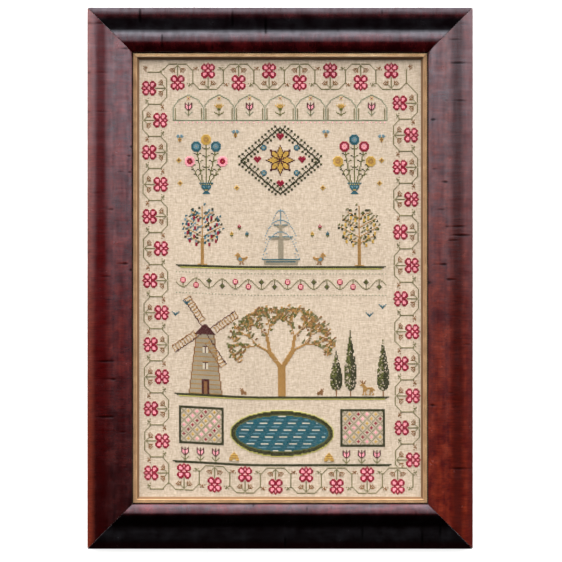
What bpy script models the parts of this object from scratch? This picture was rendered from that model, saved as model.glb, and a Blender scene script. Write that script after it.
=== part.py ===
"""Cross stitch sampler in a mitred wooden frame, lying on its back with its face up.

The linen is stretched over a plain board behind a narrow gilt slip, in the rabbet of the
frame's four rails. +X runs to the right of the picture, +Y to its top and +Z out of its face.
The origin is under the middle of the frame, on the plane that the back rests on.
"""

import math

import bmesh
import bpy
from mathutils import Matrix, Vector

MM = 0.001
GAP = 0.3 * MM  # between two pieces that meet

FRAME_WIDTH = 450 * MM
FRAME_HEIGHT = 632 * MM
RAIL_WIDTH = 52 * MM
RABBET_WIDTH = 7 * MM  # how far the rail's front lip reaches over what it holds
RABBET_DEPTH = 14 * MM  # from the back of the rail to the underside of that lip
OUTER_EDGE = 17.0 * MM  # height of the rail's straight outer side
LIP_TOP = 18.5 * MM
COVE_FLOOR = 17.3 * MM
ROLL_TOP = 21.8 * MM
SIGHT_EDGE = 16.8 * MM  # front edge of the rail beside the slip

SLIP_WIDTH = 8 * MM  # as it shows, from the rail's sight edge to the linen
BRAID_WIDTH = 4.0 * MM
BEAD_WIDTH = 1.5 * MM
SLIP_TOP = 14.9 * MM

LINEN_THICKNESS = 1.5 * MM
BOARD_THICKNESS = 3 * MM
BOARD_RECESS = 4.5 * MM  # from the plane that the rails rest on

BOARD_TOP = BOARD_RECESS + BOARD_THICKNESS
LINEN_BACK = BOARD_TOP + GAP
LINEN_FACE = LINEN_BACK + LINEN_THICKNESS
SLIP_BACK = LINEN_FACE + GAP
SHOULDER = RABBET_DEPTH - GAP  # top of the slip's flange, under the rail's lip
OPENING_WIDTH = FRAME_WIDTH - 2 * RAIL_WIDTH
OPENING_HEIGHT = FRAME_HEIGHT - 2 * RAIL_WIDTH
CURVE_STEPS = 4  # straight pieces that stand for each curved stretch of a section

# name, turn about Z, distance of its outer edge from the centre, length along that edge
SIDES = (
    ("bottom", 0, FRAME_HEIGHT / 2, FRAME_WIDTH),
    ("right", 90, FRAME_WIDTH / 2, FRAME_HEIGHT),
    ("top", 180, FRAME_HEIGHT / 2, FRAME_WIDTH),
    ("left", 270, FRAME_WIDTH / 2, FRAME_HEIGHT),
)


def clear_scene():
    for obj in list(bpy.data.objects):
        bpy.data.objects.remove(obj, do_unlink=True)


def new_collection(name):
    group = bpy.data.collections.new(name)
    bpy.context.scene.collection.children.link(group)
    return group


def new_material(name, colour, roughness, metallic=0.0):
    material = bpy.data.materials.new(name)
    material.use_nodes = True
    shader = material.node_tree.nodes["Principled BSDF"]
    shader.inputs["Base Color"].default_value = (*colour, 1.0)
    shader.inputs["Roughness"].default_value = roughness
    shader.inputs["Metallic"].default_value = metallic
    material.diffuse_color = (*colour, 1.0)
    return material


def rail_section():
    """The rail across its width: distance in from the outer edge, height, and a corner or a round point."""
    rabbet_wall = RAIL_WIDTH - RABBET_WIDTH
    return (
        (0.0, 0.0, "corner"),
        (0.0, OUTER_EDGE, "corner"),
        (0.05 * RAIL_WIDTH, OUTER_EDGE + 0.55 * (LIP_TOP - OUTER_EDGE), "round"),
        (0.165 * RAIL_WIDTH, LIP_TOP, "round"),
        (0.34 * RAIL_WIDTH, COVE_FLOOR + 0.45 * (LIP_TOP - COVE_FLOOR), "round"),
        (0.51 * RAIL_WIDTH, COVE_FLOOR, "round"),
        (0.635 * RAIL_WIDTH, COVE_FLOOR + 0.5 * (ROLL_TOP - COVE_FLOOR), "round"),
        (0.775 * RAIL_WIDTH, ROLL_TOP, "round"),
        (0.90 * RAIL_WIDTH, SIGHT_EDGE + 0.68 * (ROLL_TOP - SIGHT_EDGE), "round"),
        (RAIL_WIDTH, SIGHT_EDGE, "corner"),
        (RAIL_WIDTH, RABBET_DEPTH, "corner"),
        (rabbet_wall, RABBET_DEPTH, "corner"),
        (rabbet_wall, 0.0, "corner"),
    )


def slip_section():
    """The slip across its width: distance in from the rail's outer edge, height, and the kind of point."""
    flange = RAIL_WIDTH - RABBET_WIDTH + GAP
    braid = RAIL_WIDTH + GAP
    groove = RAIL_WIDTH + BRAID_WIDTH
    bevel = groove + BEAD_WIDTH
    inner = RAIL_WIDTH + SLIP_WIDTH
    return (
        (flange, SLIP_BACK, "corner"),
        (flange, SHOULDER, "corner"),
        (braid, SHOULDER, "corner"),
        ((braid + groove) / 2, SLIP_TOP, "round"),
        (groove, SHOULDER + GAP, "corner"),
        ((groove + bevel) / 2, SLIP_TOP + GAP, "round"),
        (bevel, SHOULDER + GAP, "corner"),
        (inner, SLIP_BACK + 2 * GAP, "corner"),
        (inner, SLIP_BACK, "corner"),
    )


def outline_curve(name, section):
    """A flat filled curve through a section's points, with its straight stretches straight."""
    curve = bpy.data.curves.new(name, "CURVE")
    curve.dimensions = "2D"
    curve.fill_mode = "BOTH"
    curve.resolution_u = CURVE_STEPS
    spline = curve.splines.new("BEZIER")
    spline.use_cyclic_u = True
    spline.bezier_points.add(len(section) - 1)
    for point, (across, height, kind) in zip(spline.bezier_points, section):
        point.co = (across, height, 0.0)
        handle = "VECTOR" if kind == "corner" else "AUTO"
        point.handle_left_type = handle
        point.handle_right_type = handle
    return curve


def bar_mesh(name, section, length):
    """A section drawn out along X, centred, with the distance in along +Y and the height along +Z."""
    curve = outline_curve(name, section)
    curve.extrude = length / 2
    holder = bpy.data.objects.new(name, curve)
    bpy.context.scene.collection.objects.link(holder)
    bpy.context.view_layer.update()
    evaluated = holder.evaluated_get(bpy.context.evaluated_depsgraph_get())
    mesh = bpy.data.meshes.new_from_object(evaluated)
    mesh.name = name
    bpy.data.objects.remove(holder, do_unlink=True)
    bpy.data.curves.remove(curve)
    turn = Matrix(((0, 0, 1, 0), (1, 0, 0, 0), (0, 1, 0, 0), (0, 0, 0, 1)))
    mesh.transform(turn)
    return mesh


def mitre(mesh, half_edge):
    """Cuts both ends of a bar at 45 degrees, half a gap inside the corner's own plane."""
    shape = bmesh.new()
    shape.from_mesh(mesh)
    bmesh.ops.remove_doubles(shape, verts=shape.verts, dist=GAP / 30)
    for side in (-1, 1):
        corner = Vector((side * half_edge, 0, 0))
        outward = Vector((side, 1, 0)).normalized()
        everything = shape.verts[:] + shape.edges[:] + shape.faces[:]
        bmesh.ops.bisect_plane(
            shape, geom=everything, plane_co=corner - outward * GAP / 2, plane_no=outward, clear_outer=True
        )
        rim = [edge for edge in shape.edges if edge.is_boundary]
        bmesh.ops.edgeloop_fill(shape, edges=rim)
    bmesh.ops.recalc_face_normals(shape, faces=shape.faces)
    shape.to_mesh(mesh)
    shape.free()
    mesh.shade_smooth()
    mesh.set_sharp_from_angle(angle=math.radians(30))


def add_ring(kind, section, material, group):
    """Four mitred bars with one section, one for each side of the frame."""
    for side, turn, reach, length in SIDES:
        name = f"{kind}_{side}"
        mesh = bar_mesh(name, section, length)
        mitre(mesh, length / 2)
        mesh.materials.append(material)
        bar = bpy.data.objects.new(name, mesh)
        bar.rotation_euler.z = math.radians(turn)
        bar.location = Matrix.Rotation(math.radians(turn), 3, "Z") @ Vector((0, -reach, 0))
        group.objects.link(bar)


def add_sheet(name, width, height, bottom, thickness, material, group):
    """A flat rectangular sheet, centred in the frame."""
    shape = bmesh.new()
    place = Matrix.Translation((0, 0, bottom + thickness / 2))
    size = Matrix.Diagonal((width, height, thickness, 1))
    bmesh.ops.create_cube(shape, size=1.0, matrix=place @ size)
    mesh = bpy.data.meshes.new(name)
    shape.to_mesh(mesh)
    shape.free()
    mesh.materials.append(material)
    group.objects.link(bpy.data.objects.new(name, mesh))


def build():
    clear_scene()
    group = new_collection("framed_cross_stitch_sampler")
    mahogany = new_material("polished_mahogany", (0.06, 0.008, 0.006), 0.25)
    gilt = new_material("gilt_gesso", (0.55, 0.33, 0.13), 0.45, 0.6)
    linen = new_material("unbleached_linen", (0.62, 0.52, 0.38), 0.95)
    board = new_material("backing_board", (0.32, 0.24, 0.15), 0.9)

    add_ring("rail", rail_section(), mahogany, group)
    add_ring("slip", slip_section(), gilt, group)
    held_width = OPENING_WIDTH + 2 * (RABBET_WIDTH - GAP)
    held_height = OPENING_HEIGHT + 2 * (RABBET_WIDTH - GAP)
    add_sheet("linen", held_width, held_height, LINEN_BACK, LINEN_THICKNESS, linen, group)
    add_sheet("backing_board", held_width, held_height, BOARD_RECESS, BOARD_THICKNESS, board, group)


build()
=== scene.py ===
"""Looks of a framed cross stitch sampler, lying on its back under a soft light from its top.

The polished mahogany rails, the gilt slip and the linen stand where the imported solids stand.
Each cross stitch is a small mesh of its own, worked on the linen from a counted chart.
"""

import math
import random

import bmesh
import bpy
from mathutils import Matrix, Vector
from mathutils.geometry import interpolate_bezier


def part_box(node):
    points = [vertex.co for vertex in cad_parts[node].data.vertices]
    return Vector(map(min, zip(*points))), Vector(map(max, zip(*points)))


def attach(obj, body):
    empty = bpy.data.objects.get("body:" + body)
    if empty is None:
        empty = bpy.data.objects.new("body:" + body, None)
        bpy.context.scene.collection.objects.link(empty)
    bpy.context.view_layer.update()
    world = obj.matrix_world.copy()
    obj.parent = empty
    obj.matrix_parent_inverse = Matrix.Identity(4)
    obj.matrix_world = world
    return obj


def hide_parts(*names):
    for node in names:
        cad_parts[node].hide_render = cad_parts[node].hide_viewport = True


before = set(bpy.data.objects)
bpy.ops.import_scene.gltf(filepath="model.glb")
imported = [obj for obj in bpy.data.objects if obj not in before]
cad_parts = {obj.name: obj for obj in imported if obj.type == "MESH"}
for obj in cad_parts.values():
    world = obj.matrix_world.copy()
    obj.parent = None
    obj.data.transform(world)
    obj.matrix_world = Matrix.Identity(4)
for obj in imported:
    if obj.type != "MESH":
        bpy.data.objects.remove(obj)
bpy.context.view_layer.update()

MM = 0.001
GAP = 0.3 * MM  # between two pieces that meet
HALF_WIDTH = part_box("rail_right")[1].x
HALF_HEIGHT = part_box("rail_top")[1].y
RAIL_WIDTH = HALF_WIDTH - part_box("rail_right")[0].x
RABBET_WIDTH = 7 * MM
RABBET_DEPTH = 14 * MM
OUTER_EDGE = 17.0 * MM
SIGHT_EDGE = 16.8 * MM
EDGE_ROUND = 0.35 * MM  # what sanding and polish have taken off each edge

SLIP_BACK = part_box("slip_top")[0].z
SLIP_WIDTH = HALF_HEIGHT - RAIL_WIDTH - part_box("slip_top")[0].y
SHOULDER = RABBET_DEPTH - GAP
SLIP_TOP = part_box("slip_top")[1].z
BRAID_WIDTH = 4.0 * MM
BRAID_BED = SHOULDER + GAP
BRAID_PITCH = 2.9 * MM  # coarser than the real one, so that it shows
BEAD_WIDTH = 1.5 * MM
GROOVE_WIDTH = 1.3 * MM  # hollow between the rail and the braid, painted near black as a shadow
GROOVE_BED = SHOULDER - 1.8 * MM

# The pieces of a pair, half their length, how far out they reach and their turn about Z
PAIRS = (
    ("top", "bottom", HALF_WIDTH, HALF_HEIGHT, 0),
    ("left", "right", HALF_HEIGHT, HALF_WIDTH, 90),
)

LINEN_LOW, LINEN_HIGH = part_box("linen")
LINEN_FACE = LINEN_HIGH.z
LINEN_THICKNESS = 0.8 * MM
LINEN_SWAY = 0.11 * MM
LEVEL_EDGE = 20 * MM  # how far in from the slip the linen takes to reach its full sway

# The chart counts its columns from the left and its rows from the top of the stitched border.
STITCH_WIDTH = 1.277 * MM
STITCH_HEIGHT = 1.3415 * MM
FIRST_COLUMN_X = -161.0 * MM
FIRST_ROW_Y = 250.8 * MM
LAST_COLUMN = 252
LAST_ROW = 371
WORK_LEAN = 2.5 * MM  # how much further right the foot of the work lies than its head
WORK_DROP = 5.0 * MM  # how much lower its lower right part lies than square
THREAD_WIDTH = 0.62 * MM
THREAD_HEIGHT = 0.42 * MM
STITCH_REST = 0.1 * MM  # from the cloth's face to the plane that a stitch is modelled on
CHART_SEED = 41

# A white tent over the top half of the room, as strengths of light
TENT_LIGHT = 7.3
TENT_WRAP = 0.1  # how far the tent comes round the sides
HORIZON_LIGHT = 0.95

# Face on, from 1.82 m above the frame's front
CAMERA_PLACE = (1.05 * MM, -3.3 * MM, 1.8385)


# Modelling by hand


def pick(*pieces):
    """Selects just these pieces, or none, and makes the first of them the active one."""
    bpy.ops.object.select_all(action="DESELECT")
    for piece in pieces:
        piece.select_set(True)
    if pieces:
        bpy.context.view_layer.objects.active = pieces[0]


def start_piece(name):
    """Names the primitive just added, goes into edit mode on it and selects all of it."""
    piece = bpy.context.object
    piece.name = name
    piece.data.name = name
    bpy.ops.object.mode_set(mode="EDIT")
    bpy.ops.mesh.select_all(action="SELECT")
    return piece


def choose(piece, test):
    """In edit mode, selects just the vertices that pass a test."""
    bpy.context.tool_settings.mesh_select_mode = (True, False, False)
    bpy.ops.mesh.select_all(action="DESELECT")
    shape = bmesh.from_edit_mesh(piece.data)
    for vert in shape.verts:
        if test(vert):
            vert.select_set(True)
    shape.select_flush_mode()
    bmesh.update_edit_mesh(piece.data)


def settle(piece):
    """Leaves edit mode and puts the piece's place and turn into its mesh."""
    if bpy.context.mode != "OBJECT":
        bpy.ops.object.mode_set(mode="OBJECT")
    pick(piece)
    bpy.ops.object.transform_apply(location=True, rotation=True, scale=True)


def turned_copy(piece, name, degrees):
    """A copy with its own mesh, turned about the frame's middle."""
    pick(piece)
    bpy.ops.object.duplicate()
    copy = bpy.context.object
    copy.name = name
    copy.data.name = name
    copy.rotation_euler.z = math.radians(degrees)
    settle(copy)
    return copy


def join(pieces):
    """Joins pieces into the first of them."""
    pick(*pieces)
    bpy.ops.object.join()
    return pieces[0]


def apply_modifiers(piece):
    """Applies a piece's modifiers from first to last."""
    bpy.context.view_layer.objects.active = piece
    for modifier in list(piece.modifiers):
        bpy.ops.object.modifier_apply(modifier=modifier.name)


def even_shading(piece, degrees):
    """Smooth shading led by the large faces, so that the small bevels at a mitre don't tilt it."""
    pick(piece)
    bpy.ops.object.shade_smooth_by_angle(angle=math.radians(degrees))
    even = piece.modifiers.new("even_shading", "WEIGHTED_NORMAL")
    even.keep_sharp = True
    even.weight = 100
    apply_modifiers(piece)


def finish_piece(piece, slot, *nodes):
    """The piece rides with the frame and stands for those solids. slot is not used."""
    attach(piece, "root")
    if nodes:
        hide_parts(*nodes)


# Mouldings


def section_line(rows, steps):
    """Points round a section: straight from corner to corner, and curved through its round rows."""
    count = len(rows)
    knots = [Vector((across, height, 0.0)) for across, height, _ in rows]
    points = []
    for here in range(count):
        after = (here + 1) % count
        span = knots[after] - knots[here]
        if rows[here][2] == rows[after][2] == "corner":
            points.append(knots[here])
            continue
        handles = []
        for place, sign in ((here, 1), (after, -1)):
            way = span
            if rows[place][2] == "round":
                way = knots[(place + 1) % count] - knots[place - 1]
            handles.append(knots[place] + sign * way.normalized() * span.length / 3)
        points += interpolate_bezier(knots[here], handles[0], handles[1], knots[after], steps + 1)[:-1]
    return points


def mitre(half_length, reach, gap):
    """In edit mode, cuts both ends of a bar at 45 degrees, a gap inside the corner's own plane."""
    for side in (-1, 1):
        outward = Vector((side, -1, 0)).normalized()
        corner = Vector((side * half_length, reach, 0)) - outward * gap
        bpy.ops.mesh.select_all(action="SELECT")
        bpy.ops.mesh.bisect(plane_co=corner, plane_no=outward, use_fill=True, clear_outer=True)


def draw_moulding(name, half_length, reach, line):
    """Draws an edge out round a section, for the top of the frame, and mitres both of its ends."""
    pick()
    bpy.ops.mesh.primitive_plane_add(size=2 * half_length)
    bar = start_piece(name)
    choose(bar, lambda vert: vert.co.y > 0)
    bpy.ops.mesh.delete(type="VERT")
    bpy.ops.mesh.select_all(action="SELECT")
    bpy.ops.transform.translate(value=(0, half_length + reach - line[0].x, line[0].y))
    for start, end in zip(line, line[1:] + line[:1]):
        step = end - start
        bpy.ops.mesh.extrude_edges_move(TRANSFORM_OT_translate={"value": (0, -step.x, step.y)})
    bpy.ops.mesh.select_all(action="SELECT")
    bpy.ops.mesh.remove_doubles(threshold=0.01 * MM)
    mitre(half_length, reach, GAP / 2)
    bpy.ops.mesh.select_all(action="SELECT")
    bpy.ops.mesh.normals_make_consistent(inside=False)
    return bar


def ease_edges(bar):
    """Takes the sharpness off each edge, as sanding and polish do."""
    bpy.context.tool_settings.mesh_select_mode = (False, True, False)
    bpy.ops.mesh.select_all(action="DESELECT")
    bpy.ops.mesh.edges_select_sharp(sharpness=math.radians(40))
    bpy.ops.mesh.bevel(offset=EDGE_ROUND, segments=2)
    settle(bar)


# The rounded part of the moulding's face: distance in from the outer edge and height, in mm
RAIL_FACE = (
    (1.2, 17.6),
    (3.5, 18.4),
    (5.8, 18.95),
    (9.3, 19.1),
    (17.7, 18.4),
    (25.8, 17.75),
    (29.0, 18.25),
    (31.6, 19.6),
    (34.4, 20.9),
    (37.4, 21.55),
    (41.0, 21.8),
    (43.4, 21.42),
    (46.0, 20.6),
    (48.4, 19.4),
)


def rail_section():
    """The wide moulding from its outer side inwards: a low lip, a shallow cove and a bold roll."""
    rabbet_wall = RAIL_WIDTH - RABBET_WIDTH
    return (
        (0.0, 0.0, "corner"),
        (0.0, OUTER_EDGE, "corner"),
        *((across * MM, height * MM, "round") for across, height in RAIL_FACE),
        (RAIL_WIDTH, SIGHT_EDGE, "corner"),
        (RAIL_WIDTH, RABBET_DEPTH, "corner"),
        (rabbet_wall, RABBET_DEPTH, "corner"),
        (rabbet_wall, 0.0, "corner"),
    )


def paint_hidden_wood(rail, pine):
    """The back of the rail and its rabbet are bare pine; the veneer covers the front and outer side."""
    rail.data.materials.append(pine)
    for face in rail.data.polygons:
        hidden_wall = face.center.z < RABBET_DEPTH and face.normal.dot(face.center) < 0
        if face.normal.z < -0.5 or hidden_wall:
            face.material_index = 1


def model_rails(veneers, pine):
    """The four rails. One of each pair is drawn and mitred, and the other is its copy, turned round."""
    line = section_line(rail_section(), 3)
    rails = {}
    for first, second, half_length, reach, turn in PAIRS:
        rail = draw_moulding(f"veneered_rail_{first}", half_length, reach, line)
        ease_edges(rail)
        rail.rotation_euler.z = math.radians(turn)
        settle(rail)
        rail.data.materials.append(veneers[first])
        paint_hidden_wood(rail, pine)
        rails[first] = rail
        rails[second] = turned_copy(rail, f"veneered_rail_{second}", 180)
        rails[second].data.materials[0] = veneers[second]
    for side, rail in rails.items():
        even_shading(rail, 30)
        finish_piece(rail, "mahogany_veneer", f"rail_{side}")


def slip_section():
    """The slip from under the rail's lip inwards: flange, groove, bed of the braid, bead and bevel."""
    flange = RAIL_WIDTH - RABBET_WIDTH + GAP
    bead = RAIL_WIDTH + BRAID_WIDTH
    inner = RAIL_WIDTH + SLIP_WIDTH
    bead_side = SLIP_TOP - 0.25 * (SLIP_TOP - SHOULDER)
    return (
        (flange, SLIP_BACK, "corner"),
        (flange, SHOULDER, "corner"),
        (RAIL_WIDTH - 2 * GAP, SHOULDER, "corner"),
        (RAIL_WIDTH - GAP, GROOVE_BED, "corner"),
        (RAIL_WIDTH + GROOVE_WIDTH - GAP, GROOVE_BED, "corner"),
        (RAIL_WIDTH + GROOVE_WIDTH, BRAID_BED, "corner"),
        (bead - GAP, BRAID_BED, "corner"),
        (bead, SHOULDER - GAP, "corner"),
        (bead + 0.25 * BEAD_WIDTH, bead_side, "round"),
        (bead + 0.5 * BEAD_WIDTH, SLIP_TOP, "round"),
        (bead + 0.75 * BEAD_WIDTH, bead_side, "round"),
        (bead + BEAD_WIDTH, SHOULDER, "corner"),
        (inner, SLIP_BACK + 2 * GAP, "corner"),
        (inner, SLIP_BACK, "corner"),
    )


def model_braid(name, half_length, reach):
    """Two rows of small leaning lozenges, cast in gesso, that read as a plait along the slip."""
    outer = reach - RAIL_WIDTH - GROOVE_WIDTH
    strands = []
    for share, lean, start in ((0.29, 38, 0.0), (0.71, -38, BRAID_PITCH / 2)):
        pick()
        bpy.ops.mesh.primitive_ico_sphere_add(subdivisions=1, radius=1.0)
        lozenge = start_piece(f"{name}_{len(strands)}")
        bpy.ops.transform.resize(value=(0.62 * BRAID_PITCH, 0.26 * BRAID_PITCH, SLIP_TOP - BRAID_BED))
        bpy.ops.transform.rotate(value=math.radians(lean), orient_axis="Z", center_override=(0, 0, 0))
        y = outer - (BRAID_WIDTH - GROOVE_WIDTH) * share
        bpy.ops.transform.translate(value=(start - half_length, y, BRAID_BED))
        bpy.ops.object.mode_set(mode="OBJECT")
        row = lozenge.modifiers.new("row", "ARRAY")
        row.count = int(2 * half_length / BRAID_PITCH)
        row.use_relative_offset = False
        row.use_constant_offset = True
        row.constant_offset_displace = (BRAID_PITCH, 0, 0)
        apply_modifiers(lozenge)
        strands.append(lozenge)
    braid = join(strands)
    bpy.ops.object.mode_set(mode="EDIT")
    mitre(half_length, reach, GAP)
    settle(braid)
    return braid


def paint_groove(slip, reach, groove_shadow):
    """The hollow beside the rail keeps its ground colour, painted near black, with no gilding: a painted
    shadow.
    """
    slip.data.materials.append(groove_shadow)
    edge = reach - RAIL_WIDTH - GROOVE_WIDTH
    for face in slip.data.polygons:
        if face.center.y > edge - 0.01 * MM and face.center.z > SLIP_BACK + GAP:
            face.material_index = 1


def model_slips(gilding, top_painted_light, groove_shadow):
    """The four slips, each joined to its braid, made in pairs as the rails are."""
    line = section_line(slip_section(), 2)
    slips = {}
    for first, second, half_length, reach, turn in PAIRS:
        braid = model_braid(f"braid_{first}", half_length, reach)
        braid.data.materials.append(gilding)
        slip = draw_moulding(f"gilt_slip_{first}", half_length, reach, line)
        settle(slip)
        slip.data.materials.append(gilding)
        paint_groove(slip, reach, groove_shadow)
        join([slip, braid])
        slip.rotation_euler.z = math.radians(turn)
        settle(slip)
        slips[first] = slip
        slips[second] = turned_copy(slip, f"gilt_slip_{second}", 180)
    # The top slip takes the lighter gilding: painted light
    slips["top"].data.materials[0] = top_painted_light
    for side, slip in slips.items():
        even_shading(slip, 40)
        finish_piece(slip, "gilt_gesso", f"slip_{side}")


# Linen


def cloth_height(x, y):
    """The stretched linen's face: level at its edges and very slightly uneven in the open field."""
    border = RAIL_WIDTH + SLIP_WIDTH
    inside = min(HALF_WIDTH - border - abs(x), HALF_HEIGHT - border - abs(y))
    share = max(0.0, min(1.0, inside / LEVEL_EDGE))
    swell = math.sin(x / (34 * MM) + 1.1) * math.sin(y / (47 * MM)) + 0.6 * math.sin((x + y) / (21 * MM))
    return LINEN_FACE + LINEN_SWAY * share * swell


def model_linen(linen):
    """The linen: a fine grid laid to the cloth's heights, with its thickness behind its face."""
    pick()
    bpy.ops.mesh.primitive_grid_add(x_subdivisions=60, y_subdivisions=90, size=1.0)
    sheet = start_piece("stretched_linen")
    size = LINEN_HIGH - LINEN_LOW
    bpy.ops.transform.resize(value=(size.x, size.y, 1.0))
    settle(sheet)
    for vert in sheet.data.vertices:
        vert.co.z = cloth_height(vert.co.x, vert.co.y)
    thickness = sheet.modifiers.new("thickness", "SOLIDIFY")
    thickness.thickness = LINEN_THICKNESS
    thickness.offset = -1.0
    apply_modifiers(sheet)
    sheet.data.materials.append(linen)
    pick(sheet)
    bpy.ops.object.shade_smooth_by_angle(angle=math.radians(40))
    finish_piece(sheet, "linen_cloth", "linen")
    return sheet


# The counted chart, with a letter for each thread: its name and colour

THREADS = {
    "C": ("crimson", "#980430"),
    "p": ("pink", "#F8AAB4"),
    "o": ("moss", "#7C7650"),
    "b": ("brown", "#8A6038"),
    "D": ("dark_green", "#34361C"),
    "l": ("leaf", "#63662C"),
    "s": ("sage", "#8A9277"),
    "y": ("lime", "#B9B45C"),
    "t": ("teal", "#1D5F6C"),
    "u": ("blue", "#6D8F9A"),
    "n": ("tan", "#AE8448"),
    "g": ("gold", "#CFA84E"),
    "w": ("cream", "#DDD3BC"),
    "k": ("stone", "#A39781"),
    "m": ("maroon", "#4F1B1E"),
}

chart = {}


def stitches_in(motif):
    """Each stitch of a motif: how far across, how far down and its thread's letter."""
    for down, row in enumerate(motif):
        for across, letter in enumerate(row):
            if letter != ".":
                yield across, down, letter


def work(motif, col, row, mirror=False, colours=None):
    """Works a motif with its top left stitch at a column and row, in other threads if asked."""
    if mirror:
        motif = [line[::-1] for line in motif]
    for across, down, letter in stitches_in(motif):
        chart[(col + across, row + down)] = (colours or {}).get(letter, letter)


def line(col, row, last_col, last_row, letter):
    """Works a straight or slanting row of stitches."""
    steps = max(abs(last_col - col), abs(last_row - row), 1)
    for step in range(steps + 1):
        share = step / steps
        chart[(round(col + share * (last_col - col)), round(row + share * (last_row - row)))] = letter


def block(col, row, last_col, last_row, letter):
    """Works a filled block of stitches."""
    for down in range(row, last_row + 1):
        line(col, down, last_col, down, letter)


# The border: a meander whose bays each hold one rose on a stem with two sprays

ROSE_STEM = (
    ".......o.......",
    "......ooo......",
    ".....o.o.o.....",
    ".bbbo..o..obbb.",
    "b.b.b..o..b.b.b",
    ".b.bb..o..bb.b.",
    "..b.b..o..b.b..",
    ".......o.......",
    ".......o.......",
    "...CCC.o.CCC...",
    "..CCCCC.CCCCC..",
    ".CCppCCCCCppCC.",
    ".CCpppCCCpppCC.",
    ".CCpppCCCpppCC.",
    "..CCCCCCCCCCC..",
    "....CCpwpCC....",
    "..CCCCCpCCCCC..",
    ".CCpppCCCpppCC.",
    ".CCpppCCCpppCC.",
    ".CCppCCpCCppCC.",
    "..CCCCCpCCCCC..",
    "...CC.CCC.CC...",
    ".......C.......",
)
OUTER_SPRAY = ("b.b.b", ".bb..", "b.bb.")
CORNER_SPRIG = ("b.b.", ".bbb", "b.b.", ".b..", "..b.")
BAY_DEPTH = 22
HALF_BAY = 14
FLAT_HALF = 8
BEVEL_STEPS = 5


def work_bay(place, first, last, sprays):
    """One bay of the border. place turns a step along the run and a depth from its flat into a stitch.

    first and last say whether its two sides are drawn, and sprays on which of them a spray stands.
    """
    for along in range(1, FLAT_HALF + 1):
        for side in (-1, 1):
            chart[place(side * along, 0)] = "o"
    for side, drawn in ((-1, first), (1, last)):
        for step in range(1, BEVEL_STEPS + 1):
            chart[place(side * (FLAT_HALF + step), step)] = "o"
        if drawn:
            for depth in range(BEVEL_STEPS, BAY_DEPTH - BEVEL_STEPS + 1):
                chart[place(side * HALF_BAY, depth)] = "o"
    for across, down, letter in stitches_in(ROSE_STEM):
        chart[place(across - len(ROSE_STEM[0]) // 2, down + 1)] = letter
    for side in sprays:
        for across, down, _ in stitches_in(OUTER_SPRAY):
            chart[place(side * (HALF_BAY - 1 - across), BAY_DEPTH - 5 + down)] = "bo"[side > 0]


def work_run(count, centre, place, starts=True, ends=True, last_sprays=(-1, 1)):
    """A run of bays, turned in and out by turns. place takes a step along the side and a depth into it."""
    for bay in range(count):
        middle = centre + 2 * HALF_BAY * bay

        def bay_place(along, depth):
            return place(middle + along, BAY_DEPTH - depth if bay % 2 else depth)

        sprays = (1,) if bay == 0 else last_sprays if bay == count - 1 else (-1, 1)
        work_bay(bay_place, starts or bay > 0, ends or bay < count - 1, sprays)


def work_border():
    """Four runs of bays. Each run starts and ends as the one on the worked cloth does at its corner."""
    inner_col = LAST_COLUMN - BAY_DEPTH
    top_of_bottom = LAST_ROW - BAY_DEPTH
    work_run(8, 32, lambda along, depth: (along, depth), starts=False, last_sprays=(-1,))
    work_run(13, 21, lambda along, depth: (BAY_DEPTH - depth, along))
    work_run(12, 34, lambda along, depth: (LAST_COLUMN - depth, along), starts=False, ends=False)
    for row in range(top_of_bottom - 2, top_of_bottom + 7):
        for col in range(inner_col, inner_col + 6):
            chart.pop((col, row), None)
    work_run(8, 36, lambda along, depth: (along, LAST_ROW - depth))
    line(inner_col, 346, inner_col + 3, top_of_bottom, "o")
    line(15, 7, 19, 4, "o")
    line(242, 16, 247, 21, "o")
    work(CORNER_SPRIG, 1, 2)
    work(CORNER_SPRIG, 244, 1, mirror=True)


# The field: a made-up garden in six bands, from motifs that many old samplers share

TULIP = (
    "m..m..m",
    "mm.m.mm",
    "mpmmmpm",
    "mppmppm",
    "mppmppm",
    ".mpmpm.",
    "..mmm..",
    "...o...",
    "s..o..s",
    ".s.o.s.",
    "..sos..",
    "...o...",
)
CARNATION = (
    "..g.g.g..",
    "g.gngng.g",
    ".gngngng.",
    "..ngngn..",
    "...lll...",
    "...lll...",
    "....o....",
    "l...o...l",
    ".ll.o.ll.",
    "...lol...",
    "....o....",
)
HEART = (".CC.CC.", "CCCCCCC", "CCCCCCC", ".CCCCC.", "..CCC..", "...C...")
FLORET = (".CCC.", "CpppC", "CpgpC", "CpppC", ".CCC.")
BUD = (".C.", "CpC", "CCC", "lol", ".o.")
SPOT = ("..g..", ".gng.", "gnmng", ".gng.", "..g..")
BEE = (".uu.uu.", "uuu.uuu", ".uubuu.", "..gbg..", "..bbb..", "..gbg..", "...b...")
SWALLOW = ("t.....t", ".tt.tt.", "..ttt..", "...t...")
URN = (
    "ttttttttttttt",
    ".tgtgtgtgtgt.",
    "..ttttttttt..",
    "..tuututuut..",
    "..ttutttutt..",
    "...ttttttt...",
    "....tgggt....",
    ".....ttt.....",
    "....ttttt....",
    "...ttttttt...",
)
BIRD = (
    "....nn........",
    "...nnnn.......",
    "..gnnnn.......",
    "....nnnn....nn",
    "....nnuunnnnnn",
    "....nuuuunnnn.",
    ".....nuuunn...",
    "......nnnn....",
    ".......b.b....",
    "......bb.bb...",
)
STAG = (
    "b.b..b........",
    ".bb.b.........",
    "..bbb.........",
    ".nnn..........",
    "nnnnn.........",
    "..nnnn........",
    "...nnnnnnnnn..",
    "...nnnnnnnnnn.",
    "...nnnnwwnnnnn",
    "...nnn...nnn..",
    "...n.n...n.n..",
    "...n.n...n..n.",
    "..nn.nn.nn.nn.",
)
RABBIT = ("b.b....", ".bb....", "bbbb...", ".bbbbbw", ".bbbbb.", ".bb.bb.")
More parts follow.
